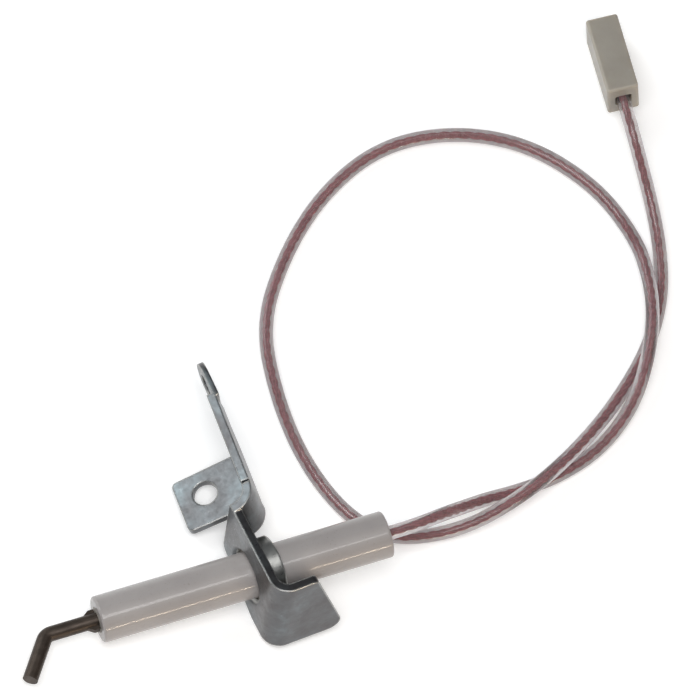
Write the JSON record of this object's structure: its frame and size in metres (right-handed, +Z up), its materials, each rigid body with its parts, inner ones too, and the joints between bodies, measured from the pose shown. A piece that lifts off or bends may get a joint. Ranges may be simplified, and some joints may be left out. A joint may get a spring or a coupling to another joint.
{
  "type": "ignition electrode",
  "caption": "Gas burner ignition electrode: a bent rod in a ceramic tube, a folded steel bracket with two screw holes, and a limp high-tension lead with a small connector.",
  "frame": {"origin": "on the resting plane, under the middle of the bounding box of the rigid electrode (rod, ceramic and bracket, without the lead and its connector)", "axes": "+X along the ceramic tube, level, towards the end the lead leaves; +Y level, towards the end of the bracket's arm; +Z up from the surface the part lies on"},
  "size_m": [0.1372, 0.0907, 0.0199],
  "materials": {
    "rod_alloy": "heat-darkened, dull",
    "ceramic": "smooth, half gloss",
    "cement": "rough",
    "sleeve_brass": "satin",
    "silicone": "translucent, half gloss",
    "lead_strands": "twisted strands seen through the insulation",
    "seal": "matt",
    "zinc_sheet": "zinc plated, satin",
    "housing_plastic": "off-white, slightly translucent",
    "terminal_tin": "tin plated, satin"
  },
  "bodies": {
    "root": {"electrode_rod": "rod_alloy", "ceramic_tube": "ceramic", "front_cement": "cement", "joint_sleeve": "sleeve_brass", "lead_end_insulation": "silicone", "lead_end_core": "lead_strands", "rear_seal": "seal", "mounting_bracket": "zinc_sheet", "collar_cement": "cement", "lead_insulation": "silicone", "lead_core": "lead_strands", "connector_housing": "housing_plastic", "receptacle_terminal": "terminal_tin"}
  },
  "joints": []
}
